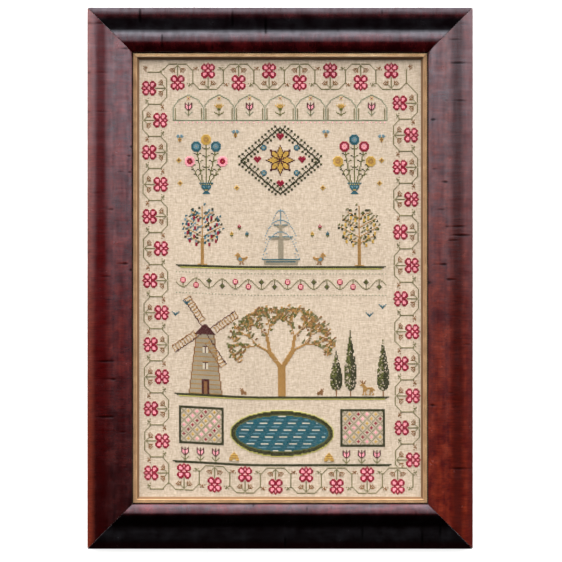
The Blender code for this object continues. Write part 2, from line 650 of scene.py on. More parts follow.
SKEP = (
    "....g....",
    "...nnn...",
    "..ggggg..",
    ".nnnnnnn.",
    ".ggggggg.",
    "nnnnnnnnn",
    "gggg.gggg",
    "nnn...nnn",
    "kkkkkkkkk",
)
LEAVES = (
    ((0, 0), (1, 0), (0, 1)),
    ((0, 0), (-1, 0), (0, -1), (-1, -1)),
    ((0, 0), (1, -1), (1, 0), (2, -1)),
    ((0, 0), (-1, 1), (0, 1)),
)


def work_ellipse(col, row, across, down, letter, filled=False):
    """Works a ring or a filled round of stitches about a middle one."""
    for turn in range(360):
        angle = math.radians(turn)
        end = (round(col + across * math.cos(angle)), round(row + down * math.sin(angle)))
        if filled:
            line(round(col), end[1], end[0], end[1], letter)
        else:
            chart[end] = letter


def work_leaf(col, row, letter, dice):
    """Works one small leaf, of a shape that the dice choose."""
    for across, down in dice.choice(LEAVES):
        chart[(round(col) + across, round(row) + down)] = letter


def grow(col, row, angle, length, girth, dice, wood, leaves):
    """A bough that forks until its twigs are one stitch thick, with leaves along the thin ones."""
    end_col = col + length * math.cos(angle)
    end_row = row - length * math.sin(angle)
    for part in range(girth):
        shift = part - girth // 2
        line(round(col) + shift, round(row), round(end_col) + shift, round(end_row), wood)
    if girth == 1:
        for share in (0.1, 0.3, 0.5, 0.7, 0.9, 1.0):
            side = dice.choice((-2, 2))
            leaf = dice.choice(leaves)
            work_leaf(col + share * (end_col - col) + side, row + share * (end_row - row) - 1, leaf, dice)
    if length > 5:
        for fork in (-1, 1):
            spread = math.radians(dice.uniform(22, 38)) * fork
            grow(end_col, end_row, angle + spread, length * 0.74, max(1, girth - 2), dice, wood, leaves)


def work_star(col, row, reach, outer, inner):
    """An eight pointed star of long diamonds, outlined in one thread and filled with another."""
    for across in range(-reach, reach + 1):
        for down in range(-reach, reach + 1):
            u, v = sorted((abs(across), abs(down)))
            straight = min(v, reach - v) * 0.5 - u
            slanting = min((u + v) / 2, 0.75 * reach - (u + v) / 2) * 0.55 - (v - u) / 2
            depth = max(straight, slanting)
            if depth >= 0:
                chart[(col + across, row + down)] = outer if depth < 1 else inner


def work_arcade():
    """A light arcade of seven arches, each over a tulip or a carnation."""
    for bay in range(7):
        left = 28 + 28 * bay
        for side, foot in ((1, left), (-1, left + 28)):
            line(foot, 48, foot, 38, "s")
            line(foot, 38, foot + side * 5, 31, "s")
            line(foot + side * 5, 31, foot + side * 14, 27, "s")
            line(foot + side * 2, 48, foot + side * 2, 39, "o")
        if bay % 2 == 0:
            work(TULIP, left + 11, 34)
        else:
            work(CARNATION, left + 10, 35)
        work(("g.g", ".C.", "g.g"), left + 13, 29)
    line(28, 49, 224, 49, "s")
    for col in range(30, 224, 4):
        chart[(col, 51)] = "p"


def work_lozenge(col, row, across, down):
    """A lozenge of leafy sprays round a star, with a heart in each of its corners."""
    for side_x in (-1, 1):
        for side_y in (-1, 1):
            for step in range(across + 1):
                x = round(col + side_x * (across - step))
                y = round(row + side_y * down * step / across)
                for shift in (0, 1):
                    chart[(x, y + shift)] = "D"
                if step % 3 == 1:
                    for out in (-1, 1):
                        for reach in (1, 2, 3):
                            chart[(x + out * side_x * reach, y + out * side_y * reach)] = "D"
                        chart[(x + out * side_x * 3, y + out * side_y * 2)] = "l" if step % 2 else "D"
                        chart[(x + out * side_x * 2, y + out * side_y * 3)] = "D"
    work_star(col, row, 13, "m", "g")
    for heart_col, heart_row in ((-24, -3), (17, -3), (-3, -23), (-3, 18)):
        work(HEART, col + heart_col, row + heart_row)
    for side in (-1, 1):
        work(FLORET, col + side * 15 - 2, row - 13, colours={"C": "t", "p": "u"})
        work(FLORET, col + side * 15 - 2, row + 9, colours={"C": "t", "p": "u"})


def work_bouquet(col, row, blooms):
    """An urn with five stems. blooms gives the outer and inner thread of each bloom, left to right."""
    heads = ((-15, -17), (-9, -30), (0, -36), (9, -30), (15, -17))
    for (across, up), (outer, inner) in zip(heads, blooms):
        line(col + across // 4, row, col + across, row + up, "l")
        for share in (0.35, 0.6, 0.8):
            x, y = round(col + across * (0.25 + 0.75 * share)), round(row + up * share)
            for side in (-1, 1):
                line(x + side, y - 1, x + side * 3, y - 2, "D" if side < 0 else "l")
        line(col + across - 4, row + up - 2, col + across + 4, row + up - 2, outer)
        work_ellipse(col + across, row + up - 2, 4, 4, outer, filled=True)
        work_ellipse(col + across, row + up - 2, 2, 2, inner, filled=True)
        chart[(col + across, row + up - 2)] = "g"
    work(URN, col - 6, row)


def work_fruit_tree(col, row, dice, wood, leaves, fruit):
    """A young tree on the ground at a row, with a round head full of fruit."""
    for shift in (-1, 0, 1):
        line(col + shift, row, col + shift, row - 22, wood)
    for side in (-1, 1):
        line(col + side, row, col + 4 * side, row, wood)
        for height, reach in ((18, 14), (24, 17), (32, 15), (40, 10)):
            line(col, row - height, col + side * reach, row - height - reach // 2, wood)
            for share in (0.3, 0.5, 0.7, 0.9, 1.05):
                x = col + side * reach * share
                y = row - height - reach * share / 2
                for up in (-2, 2):
                    work_leaf(x + dice.choice((-1, 0, 1)), y + up, dice.choice(leaves), dice)
            for share in (0.45, 0.85):
                x, y = round(col + side * reach * share), round(row - height - reach * share / 2 + 3)
                block(x, y, x + 1, y + 2, fruit)
    line(col, row - 22, col, row - 50, wood)
    for up in range(24, 54, 4):
        work_leaf(col + dice.choice((-2, 2)), row - up, dice.choice(leaves), dice)


def work_fountain(col, row):
    """A stone fountain of two basins under four jets."""
    block(col - 15, row - 4, col + 15, row - 1, "k")
    line(col - 17, row - 5, col + 17, row - 5, "t")
    block(col - 13, row - 3, col + 13, row - 3, "t")
    block(col - 2, row - 22, col + 2, row - 6, "k")
    for reach, height in ((11, 24), (6, 34)):
        line(col - reach, row - height, col + reach, row - height, "t")
        line(col - reach + 1, row - height + 1, col + reach - 1, row - height + 1, "k")
        line(col - reach + 3, row - height + 2, col + reach - 3, row - height + 2, "k")
    block(col - 1, row - 34, col + 1, row - 24, "k")
    for side in (-1, 1):
        for reach, top, foot in ((8, 46, 35), (14, 38, 25), (17, 28, 6)):
            for step in range(reach + 1):
                share = step / reach
                fall = row - top + round((top - foot) * share**2.4)
                chart[(col + side * step, fall)] = "u"
        for drop in range(7, 26, 3):
            chart[(col + side * (13 + drop % 2), row - drop)] = "u"
    line(col, row - 47, col, row - 35, "u")


def work_vine(row):
    """A running vine with a leaf or a small flower in each wave."""
    for col in range(30, 223):
        chart[(col, row + round(4 * math.sin((col - 30) * math.pi / 12)))] = "o"
    for wave in range(16):
        col = 36 + 12 * wave
        lift = 1 if wave % 2 == 0 else -1
        line(col, row + 4 * lift, col, row - 2 * lift, "o")
        if wave % 4 < 2:
            work(FLORET, col - 2, row - 2 * lift - 2)
        else:
            work(("..D..", ".DlD.", "DlllD", ".DlD.", "..D.."), col - 2, row - 2 * lift - 2)
    for edge in (-9, 9):
        for col in range(30, 223, 3):
            chart[(col, row + edge)] = "s"


def work_windmill(col, row):
    """A stone tower mill with a dark cap and four latticed sails."""
    for up in range(52):
        half = round(15 - 7 * up / 52)
        letter = "k" if up % 4 else "n"
        line(col - half, row - up, col + half, row - up, letter)
        chart[(col - half, row - up)] = chart[(col + half, row - up)] = "b"
    for up in range(9):
        line(col - 9 + up, row - 52 - up, col + 9 - up, row - 52 - up, "m")
    block(col - 3, row - 12, col + 3, row, "m")
    block(col - 1, row - 10, col + 1, row, "b")
    for up in (22, 36):
        top = row - up - 5
        block(col - 2, top, col + 2, row - up, "w")
        line(col - 2, top, col + 2, top, "m")
        line(col, top, col, row - up, "m")
    hub_row = row - 54
    for turn in (35, 125, 215, 305):
        angle = math.radians(turn)
        way = (math.cos(angle), -math.sin(angle))
        side = (-way[1], way[0])
        for step in range(3, 34):
            x, y = col + way[0] * step, hub_row + way[1] * step
            chart[(round(x), round(y))] = "m"
            if step > 8 and step % 3 == 0:
                for reach in range(1, 7):
                    chart[(round(x + side[0] * reach), round(y + side[1] * reach))] = "n"
            if step > 8:
                chart[(round(x + side[0] * 6), round(y + side[1] * 6))] = "b"
    work_ellipse(col, hub_row, 2, 2, "m", filled=True)


def work_cypress(col, row, height, dice):
    """A narrow evergreen, darker on one side."""
    line(col, row, col, row - 5, "b")
    for up in range(5, height):
        share = (up - 5) / (height - 5)
        half = round(5.2 * math.sin(math.pi * min(1.0, share**0.55 * 0.98 + 0.06)))
        for across in range(-half, half + 1):
            letter = "D" if across > 0 or dice.random() < 0.45 else "l"
            if dice.random() < 0.86:
                chart[(col + across, row - up)] = letter


def work_ground(row, first, last, letters=("D", "D", "y")):
    """Works a strip of ground, a little shorter with each row down."""
    for down, letter in enumerate(letters):
        line(first + 2 * down, row + down, last - 2 * down, row + down, letter)


def work_bed(col, row, across, down, fillings):
    """A formal bed: a low hedge round a lattice of box with a flower in each diamond."""
    for edge in (0, 1):
        for step in range(edge, across - edge + 1):
            chart[(col + step, row + edge)] = chart[(col + step, row + down - edge)] = "D"
        for step in range(edge, down - edge + 1):
            chart[(col + edge, row + step)] = chart[(col + across - edge, row + step)] = "D"
    for x in range(2, across - 1):
        for y in range(2, down - 1):
            if (x + y) % 8 == 0 or (x - y) % 8 == 0:
                chart[(col + x, row + y)] = "o"
            elif (x + y) % 8 == 4 and (x - y) % 8 == 4:
                letter = fillings[(x + y) // 8 % len(fillings)]
                for across_step, down_step in ((0, 0), (1, 0), (-1, 0), (0, 1), (0, -1)):
                    chart[(col + x + across_step, row + y + down_step)] = letter


def work_pond(col, row, across, down):
    """A long pond of rippled water between green banks."""
    work_ellipse(col, row, across + 5, down + 5, "y", filled=True)
    work_ellipse(col, row, across + 4, down + 4, "D", filled=True)
    work_ellipse(col, row, across + 1, down + 1, "l", filled=True)
    work_ellipse(col, row, across, down, "t", filled=True)
    for y in range(-down, down + 1, 3):
        half = int(across * math.sqrt(max(0.0, 1 - (y / (down + 0.5)) ** 2))) - 2
        for x in range(-half, half + 1):
            if (x + 5 * y) % 13 < 7:
                chart[(col + x, row + y)] = "w" if y % 2 else "u"


def work_field():
    """Works the field, from the arcade at its head to the strip of ground at its foot."""
    dice = random.Random(CHART_SEED)
    work_arcade()
    work_lozenge(126, 84, 36, 29)
    work_bouquet(58, 104, (("p", "C"), ("t", "u"), ("g", "n"), ("t", "u"), ("p", "C")))
    work_bouquet(194, 104, (("g", "n"), ("C", "p"), ("t", "u"), ("C", "p"), ("g", "n")))
    for col, row in ((31, 62), (82, 58), (165, 58), (216, 62)):
        work(BEE, col, row)
    for col, row in ((32, 102), (84, 106), (163, 106), (215, 102), (31, 82), (217, 82)):
        work(SPOT, col, row)
    work_ground(175, 30, 222)
    work_fruit_tree(54, 174, dice, "n", ("t", "D", "u"), "C")
    work_fruit_tree(198, 174, dice, "n", ("o", "l", "D"), "g")
    work(BIRD, 82, 164)
    work(BIRD, 156, 164, mirror=True)
    for col in (86, 160):
        work(BUD, col + 1, 140)
        work(BUD, col + 8, 146, colours={"C": "t", "p": "u"})
        work(BUD, col - 6, 146, colours={"C": "g", "p": "n"})
    work_fountain(126, 174)
    work_vine(190)
    grow(126, 286, math.radians(90), 24, 7, dice, "n", ("o", "l", "n", "b"))
    work_windmill(56, 286)
    work_cypress(176, 286, 40, dice)
    work_cypress(189, 286, 58, dice)
    work_cypress(219, 286, 50, dice)
    work(STAG, 198, 273)
    for col, row in ((36, 206), (26, 216), (204, 214), (216, 207)):
        work(SWALLOW, col, row)
    work(RABBIT, 88, 280)
    work(RABBIT, 158, 280, mirror=True)
    work_ground(287, 28, 224)
    work_pond(126, 319, 42, 15)
    work_bed(32, 298, 40, 32, ("C", "g", "p"))
    work_bed(180, 298, 40, 32, ("p", "g", "C"))
    for col in (34, 48, 62, 182, 196, 210):
        work(TULIP, col, 334, colours={"s": "l"})
    work(SKEP, 78, 336)
    work(SKEP, 165, 336)
    work_ground(346, 26, 226, ("D", "D"))


def ease(value, start, end):
    """0 before the start and 1 past the end, with a soft rise between them."""
    share = max(0.0, min(1.0, (value - start) / (end - start)))
    return share * share * (3 - 2 * share)


def stitch_place(col, row):
    """Where a stitch lies on the linen, which is strained a little out of square in its frame.

    The lean comes in softly down the rows, and the drop down the rows and across the columns.
    """
    x = FIRST_COLUMN_X + col * STITCH_WIDTH + WORK_LEAN * ease(row, 14, 364)
    y = FIRST_ROW_Y - row * STITCH_HEIGHT - WORK_DROP * ease(row, 110, 240) * ease(col, 10, 110)
    return x, y, cloth_height(x, y) + STITCH_REST


def model_stitch():
    """One cross stitch: two plump legs of thread that cross, with their ends drawn into the cloth."""
    legs = []
    half = 0.5 * math.hypot(STITCH_WIDTH, STITCH_HEIGHT)
    slant = math.degrees(math.atan2(STITCH_HEIGHT, STITCH_WIDTH))
    for turn, lift in ((slant, 0.08 * MM), (-slant, 0.26 * MM)):
        pick()
        bpy.ops.mesh.primitive_uv_sphere_add(segments=4, ring_count=3, radius=1.0)
        leg = start_piece(f"leg_{len(legs)}")
        bpy.ops.transform.rotate(value=math.radians(90), orient_axis="Y", center_override=(0, 0, 0))
        bpy.ops.transform.resize(value=(half, THREAD_WIDTH / 2, THREAD_HEIGHT / 2))
        # Plump in the middle, with both ends drawn down
        choose(leg, lambda vert: abs(vert.co.x) < 0.9 * half)
        bpy.ops.transform.resize(value=(1.45, 1.12, 1.12), center_override=(0, 0, 0))
        choose(leg, lambda vert: abs(vert.co.x) > 0.9 * half)
        bpy.ops.transform.translate(value=(0, 0, -0.5 * THREAD_HEIGHT))
        bpy.ops.mesh.select_all(action="SELECT")
        bpy.ops.transform.translate(value=(0, 0, lift))
        leg.rotation_euler.z = math.radians(turn)
        settle(leg)
        legs.append(leg)
    stitch = join(legs)
    stitch.name = "cross_stitch_pattern"
    bpy.ops.object.shade_smooth()
    return stitch


def scatter_tree(stitch):
    """Node group that sets one cross stitch on each point, a little turned and scaled, as real meshes."""
    group = bpy.data.node_groups.new("work_stitches", "GeometryNodeTree")
    group.interface.new_socket("Points", in_out="INPUT", socket_type="NodeSocketGeometry")
    group.interface.new_socket("Stitches", in_out="OUTPUT", socket_type="NodeSocketGeometry")
    points = add_node(group, "NodeGroupInput")
    pattern = add_node(group, "GeometryNodeObjectInfo", {"Object": stitch, "As Instance": True})
    turn = add_node(
        group,
        "FunctionNodeRandomValue",
        {0: (-0.06, -0.06, -0.10), 1: (0.06, 0.06, 0.10), "Seed": 3},
        data_type="FLOAT_VECTOR",
    )
    size = add_node(
        group,
        "FunctionNodeRandomValue",
        {0: (0.93, 0.93, 0.85), 1: (1.07, 1.07, 1.15), "Seed": 8},
        data_type="FLOAT_VECTOR",
    )
    placed = add_node(
        group,
        "GeometryNodeInstanceOnPoints",
        {"Points": points, "Instance": pattern.outputs["Geometry"], "Rotation": turn, "Scale": size},
    )
    real = add_node(group, "GeometryNodeRealizeInstances", {"Geometry": placed})
    add_node(group, "NodeGroupOutput", {0: real})
    return group


def model_stitches():
    """One joined mesh for each thread colour, from the chart."""
    stitch = model_stitch()
    group = scatter_tree(stitch)
    worked = []
    for letter, (thread, code) in THREADS.items():
        points = [stitch_place(*place) for place in sorted(chart) if chart[place] == letter]
        mesh = bpy.data.meshes.new(f"stitches_{thread}")
        mesh.from_pydata(points, [], [])
        piece = bpy.data.objects.new(f"stitches_{thread}", mesh)
        bpy.context.scene.collection.objects.link(piece)
        pick(piece)
        piece.modifiers.new("work", "NODES").node_group = group
        apply_modifiers(piece)
        piece.data.materials.clear()
        piece.data.materials.append(stranded_cotton(thread, code))
        finish_piece(piece, f"thread_{thread}")
        worked.append(piece)
    bpy.data.objects.remove(stitch, do_unlink=True)
    return worked


# Materials


def colour(code):
    """An sRGB hex colour as the linear values that a shader takes."""
    parts = [int(code[place : place + 2], 16) / 255 for place in (1, 3, 5)]
    linear = [part / 12.92 if part <= 0.04045 else ((part + 0.055) / 1.055) ** 2.4 for part in parts]
    return (*linear, 1.0)


def add_node(tree, kind, inputs=None, stops=(), **settings):
    """Adds a node with its settings, its inputs and, on a colour ramp, its stops.

    An input takes a value, a link from a socket, or a node, which links from its first output in use.
    """
    node = tree.nodes.new(kind)
    for name, value in settings.items():
        setattr(node, name, value)
    for key, value in (inputs or {}).items():
        if isinstance(value, bpy.types.Node):
            value = next(socket for socket in value.outputs if socket.enabled)
        if isinstance(value, bpy.types.NodeSocket):
            tree.links.new(value, node.inputs[key])
        else:
            node.inputs[key].default_value = value
    for number, (position, code) in enumerate(stops):
        if number >= len(node.color_ramp.elements):
            node.color_ramp.elements.new(position)
        node.color_ramp.elements[number].position = position
        node.color_ramp.elements[number].color = colour(code)
    return node


def new_material(name):
    """A material with an empty tree, and the tree's object coordinates."""
    material = bpy.data.materials.new(name)
    material.use_nodes = True
    tree = material.node_tree
    tree.nodes.clear()
    place = add_node(tree, "ShaderNodeTexCoord").outputs["Object"]
    return material, tree, place


def close_material(tree, shader_inputs):
    """Ends a material's tree with its shader and its output."""
    shader = add_node(tree, "ShaderNodeBsdfPrincipled", shader_inputs)
    add_node(tree, "ShaderNodeOutputMaterial", {"Surface": shader})


# Settings for one colour laid over another, for a colour darkened or lightened by a value, and for a
# rise with soft ends
LAID_OVER = {"data_type": "RGBA"}
TONED_BY = {"data_type": "RGBA", "blend_type": "MULTIPLY"}
SOFT = {"interpolation_type": "SMOOTHSTEP"}


def polished_mahogany(name, along, tones, cove, span, edge, ends=(1, 1), fade=(-1, 1), leans=(0, 0), calm=1):
    """Mahogany veneer laid with its grain across the rail, French polished: a deep, glassy red brown.

    The cove between span's two distances in from the outer edge is laid over in the cove colour: painted
    shade, nearly black on the top and bottom rails. The outer edge takes the edge colour: wear from
    handling on the side rails, painted shade on the bottom rail. ends gives how light the wood is at
    fade's two places along the rail. The side rails' fine ripples lean to the frame's top and catch its
    light, by leans at their foot and their head, and by calm's share of that in the cove. The end rails'
    ripples run towards that light and don't lean, and their tones are painted nearly black: painted shade
    between the highlights.
    """
    material, tree, place = new_material(name)
    across = "X" if along == "Y" else "Y"
    reach = HALF_WIDTH if across == "X" else HALF_HEIGHT
    apart = add_node(tree, "ShaderNodeSeparateXYZ", {"Vector": place})
    distance = add_node(tree, "ShaderNodeMath", {0: apart.outputs[across]}, operation="ABSOLUTE")
    stretch = {"X": (0.13, 1.0, 1.0), "Y": (1.0, 0.13, 1.0)}
    grain_place = add_node(tree, "ShaderNodeMapping", {"Vector": place, "Scale": stretch[across]})
    streak_place = add_node(tree, "ShaderNodeMapping", {"Vector": place, "Scale": stretch[along]})
    figure = add_node(
        tree,
        "ShaderNodeTexNoise",
        {"Vector": place, "Scale": 1 / (18.18 * MM), "Detail": 5.0, "Roughness": 0.6},
    )
    streak = add_node(
        tree, "ShaderNodeTexNoise", {"Vector": streak_place, "Scale": 1 / (4.762 * MM), "Detail": 2.0}
    )
    # Pores are 0.2 mm wide, and drawn at 1.6 mm so that they show.
    pore = add_node(
        tree, "ShaderNodeTexNoise", {"Vector": grain_place, "Scale": 1 / (1.613 * MM), "Detail": 3.0}
    )
    ripple = add_node(
        tree, "ShaderNodeTexNoise", {"Vector": grain_place, "Scale": 1 / (5.263 * MM), "Detail": 2.0}
    )
    # Short cracks across the rail, one in each cell
    cells = add_node(tree, "ShaderNodeTexVoronoi", {"Vector": grain_place, "Scale": 1 / (11.76 * MM)})
    crack = add_node(
        tree,
        "ShaderNodeMapRange",
        {"Value": cells, "From Min": 0.05, "From Max": 0.2, "To Min": 0.25, "To Max": 1.0},
        **SOFT,
    )
    # Masks for the outer edge, with wear at the sides and painted shade on the bottom rail, and for the
    # cove's painted shade
    masks = []
    for start, end in (
        (reach - 11 * MM, reach - 2 * MM),
        (reach - span[0], reach - span[0] - 8 * MM),
        (reach - span[1] - 8 * MM, reach - span[1]),
    ):
        mask = {"Value": distance, "From Min": start, "From Max": end}
        masks.append(add_node(tree, "ShaderNodeMapRange", mask, **SOFT))
    edge_wear_and_shade, cove_shade_outer, cove_shade_inner = masks
    hollow = add_node(tree, "ShaderNodeMath", {0: cove_shade_outer, 1: cove_shade_inner}, operation="MULTIPLY")

    blend = add_node(tree, "ShaderNodeMath", {0: streak, 1: 0.35, 2: figure}, operation="MULTIPLY_ADD")
    mottle = add_node(tree, "ShaderNodeValToRGB", {"Fac": blend}, stops=zip((0.52, 0.68, 0.84), tones))
    # The cove laid over in the cove colour: painted shade, nearly black on the top and bottom rails
    shaded = add_node(tree, "ShaderNodeMix", {"Factor": hollow, "A": mottle, "B": colour(cove)}, **LAID_OVER)
    # Darker or lighter along the rail, by ends at fade's two places
    length = {"Value": apart.outputs[along], "From Min": fade[0], "From Max": fade[1]}
    tone_along_rail = add_node(tree, "ShaderNodeMapRange", {**length, "To Min": ends[0], "To Max": ends[1]}, **SOFT)
    retoned = add_node(tree, "ShaderNodeMix", {"Factor": 1.0, "A": shaded, "B": tone_along_rail}, **TONED_BY)
    # The outer edge in the edge colour: wear on the side rails, painted shade on the bottom rail
    edged = add_node(tree, "ShaderNodeMix", {"Factor": edge_wear_and_shade, "A": retoned, "B": colour(edge)}, **LAID_OVER)
    pore_tone = add_node(
        tree,
        "ShaderNodeMapRange",
        {"Value": pore, "From Min": 0.3, "From Max": 0.7, "To Min": 0.72, "To Max": 1.28},
    )
    grained = add_node(tree, "ShaderNodeMix", {"Factor": 1.0, "A": edged, "B": pore_tone}, **TONED_BY)
    cracked = add_node(tree, "ShaderNodeMix", {"Factor": 1.0, "A": grained, "B": crack}, **TONED_BY)

    facing = add_node(tree, "ShaderNodeNewGeometry").outputs["Normal"]
    rise = {"Value": apart.outputs["Y"], "From Min": -50 * MM, "From Max": 300 * MM}
    tilt = add_node(tree, "ShaderNodeMapRange", {**rise, "To Min": leans[0], "To Max": leans[1]})
    calmed = add_node(tree, "ShaderNodeMapRange", {"Value": hollow, "To Min": 1.0, "To Max": calm})
    lean = add_node(tree, "ShaderNodeMath", {0: tilt, 1: calmed}, operation="MULTIPLY")
    lean_way = add_node(tree, "ShaderNodeCombineXYZ", {"Y": lean})
    normal = add_node(tree, "ShaderNodeVectorMath", {0: facing, 1: lean_way}, operation="ADD")
    reliefs = ((ripple, 0.5, 0.15 * MM), (pore, 0.4, 0.10 * MM), (crack, 0.5, 0.3 * MM))
    for height, strength, depth in reliefs:
        relief = {"Height": height, "Strength": strength, "Distance": depth, "Normal": normal}
        normal = add_node(tree, "ShaderNodeBump", relief)

    gloss = add_node(
        tree,
        "ShaderNodeMapRange",
        {"Value": figure, "From Min": 0.3, "From Max": 0.7, "To Min": 0.17, "To Max": 0.28},
    )
    # Smears of polish, and ripples and cracks that show as fine lines across the highlights
    smears = add_node(tree, "ShaderNodeMath", {0: streak, 1: ripple}, operation="ADD")
    sheen = add_node(
        tree,
        "ShaderNodeMapRange",
        {"Value": smears, "From Min": 0.7, "From Max": 1.3, "To Min": 0.4, "To Max": 0.75},
    )
    dulled = add_node(tree, "ShaderNodeMath", {0: sheen, 1: crack}, operation="MULTIPLY")
    close_material(
        tree,
        {
            "Base Color": cracked,
            "Roughness": gloss,
            "IOR": 1.42,
            "Specular IOR Level": dulled,
            # The cool specular tint stands in for the light's colour: painted light in the reflections
            "Specular Tint": (0.86, 0.87, 1.0, 1.0),
            "Normal": normal,
        },
    )
    return material


def bare_pine():
    """Planed pine core, left raw on the back and in the rabbet: pale yellow brown with soft rings."""
    material, tree, place = new_material("planed_raw_pine")
    # At scale 1 the diagonal wave repeats every pi / 5 units along X: the rings are 10.5 mm apart.
    rings = add_node(
        tree,
        "ShaderNodeTexWave",
        {"Vector": place, "Scale": math.pi / 5 / (10.472 * MM), "Distortion": 6.0, "Detail": 3.0},
        bands_direction="DIAGONAL",
    ).outputs["Fac"]
    tone = add_node(tree, "ShaderNodeValToRGB", {"Fac": rings}, stops=((0.1, "#8E6B43"), (0.9, "#B8925F")))
    bump = add_node(tree, "ShaderNodeBump", {"Height": rings, "Strength": 0.3, "Distance": 0.2 * MM})
    close_material(tree, {"Base Color": tone, "Roughness": 0.75, "Normal": bump})
    return material


def gilded_gesso(name, tones, hollow):
    """Bronze powder gilding on cast gesso, mellowed: tan gold on what stands up, brown in the hollows."""
    material, tree, place = new_material(name)
    cloud = add_node(
        tree, "ShaderNodeTexNoise", {"Vector": place, "Scale": 1 / (11.11 * MM), "Detail": 4.0}
    )
    # The powder's grains are 0.05 mm, and drawn at 1.1 mm so that they show.
    specks = add_node(
        tree, "ShaderNodeTexNoise", {"Vector": place, "Scale": 1 / (1.111 * MM), "Detail": 2.0}
    )
    tone = add_node(tree, "ShaderNodeValToRGB", {"Fac": cloud}, stops=zip((0.30, 0.55, 0.75), tones))
    height = add_node(tree, "ShaderNodeSeparateXYZ", {"Vector": place}).outputs["Z"]
    raised = add_node(
        tree,
        "ShaderNodeMapRange",
        {"Value": height, "From Min": BRAID_BED - 0.9 * MM, "From Max": BRAID_BED - 0.1 * MM},
    )
    gilt = add_node(tree, "ShaderNodeMix", {"Factor": raised, "A": colour(hollow), "B": tone}, **LAID_OVER)
    bump = add_node(tree, "ShaderNodeBump", {"Height": specks, "Strength": 0.35, "Distance": 0.1 * MM})
    close_material(tree, {"Base Color": gilt, "Metallic": 0.06, "Roughness": 0.58, "Normal": bump})
    return material


def matt_flecked(name, fleck, detail, stops, roughness):
    """A matt surface in two close tones, whose flecks also stand up a little."""
    material, tree, place = new_material(name)
    flecks = add_node(tree, "ShaderNodeTexNoise", {"Vector": place, "Scale": 1 / fleck, "Detail": detail})
    tone = add_node(tree, "ShaderNodeValToRGB", {"Fac": flecks}, stops=stops)
    bump = add_node(tree, "ShaderNodeBump", {"Height": flecks, "Strength": 0.3, "Distance": 0.1 * MM})
    close_material(tree, {"Base Color": tone, "Roughness": roughness, "Normal": bump})
    return material


def dark_groove_shadow():
    """Umber clay ground left bare in the groove, painted almost black: a painted shadow beside the polished
    wood.
    """
    return matt_flecked("bare_umber_groove_shadow", 3.333 * MM, 3.0, ((0.35, "#120705"), (0.7, "#2E1A10")), 0.8)


def pulp_board():
    """Grey brown pulp board, pressed and unpainted: matt, flecked with fibres."""
    return matt_flecked("pressed_pulp_board", 2 * MM, 4.0, ((0.35, "#6E5C46"), (0.65, "#957F62")), 0.9)


def evenweave_linen():
    """Unbleached evenweave linen, a warm oatmeal with slubs that run mostly across the cloth."""
    material, tree, place = new_material("unbleached_evenweave_linen")
    # Slubs are thick places in a thread, 0.6 mm wide, and drawn at 1.3 mm so that they show.
    weft_place = add_node(tree, "ShaderNodeMapping", {"Vector": place, "Scale": (0.22, 1.0, 1.0)})
    warp_place = add_node(tree, "ShaderNodeMapping", {"Vector": place, "Scale": (1.0, 0.28, 1.0)})
    weft = add_node(
        tree, "ShaderNodeTexNoise", {"Vector": weft_place, "Scale": 1 / (1.316 * MM), "Detail": 2.0}
    )
    warp = add_node(
        tree, "ShaderNodeTexNoise", {"Vector": warp_place, "Scale": 1 / (1.4286 * MM), "Detail": 2.0}
    )
    slubs = add_node(tree, "ShaderNodeMath", {0: weft, 1: 0.55}, operation="MULTIPLY")
    both = add_node(tree, "ShaderNodeMath", {0: warp, 1: 0.45, 2: slubs}, operation="MULTIPLY_ADD")
    stops = ((0.30, "#A69581"), (0.50, "#BEAC97"), (0.70, "#D2C2AE"))
    tone = add_node(tree, "ShaderNodeValToRGB", {"Fac": both}, stops=stops)
    cloud = add_node(tree, "ShaderNodeTexNoise", {"Vector": place, "Scale": 1 / (111.1 * MM), "Detail": 3.0})
    stain = add_node(
        tree,
        "ShaderNodeMapRange",
        {"Value": cloud, "From Min": 0.3, "From Max": 0.7, "To Min": 0.94, "To Max": 1.04},
    )
    retoned = add_node(tree, "ShaderNodeMix", {"Factor": 1.0, "A": tone, "B": stain}, **TONED_BY)
    # The threads lie half a stitch apart, too fine to show, and are drawn as soft ripples 8 mm apart.
    # At scale 1 a wave repeats every pi / 10 units.
    waves = []
    for stitch, bands in ((STITCH_HEIGHT, "Y"), (STITCH_WIDTH, "X")):
        spacing = 2 * math.pi * stitch
        wave = {"Vector": place, "Scale": math.pi / 10 / spacing, "Distortion": 0.6, "Detail": 1.0}
        waves.append(add_node(tree, "ShaderNodeTexWave", wave, bands_direction=bands).outputs["Fac"])
    weave = add_node(tree, "ShaderNodeMath", {0: waves[0], 1: waves[1]}, operation="ADD")
    fine = add_node(tree, "ShaderNodeBump", {"Height": weave, "Strength": 0.5, "Distance": 0.15 * MM})
    rough = {"Height": both, "Strength": 0.5, "Distance": 0.3 * MM, "Normal": fine}
    close_material(
        tree,
        {
            "Base Color": retoned,
            "Roughness": 0.95,
            "Specular IOR Level": 0.15,
            "Sheen Weight": 0.15,
            "Normal": add_node(tree, "ShaderNodeBump", rough),
        },
    )
    return material


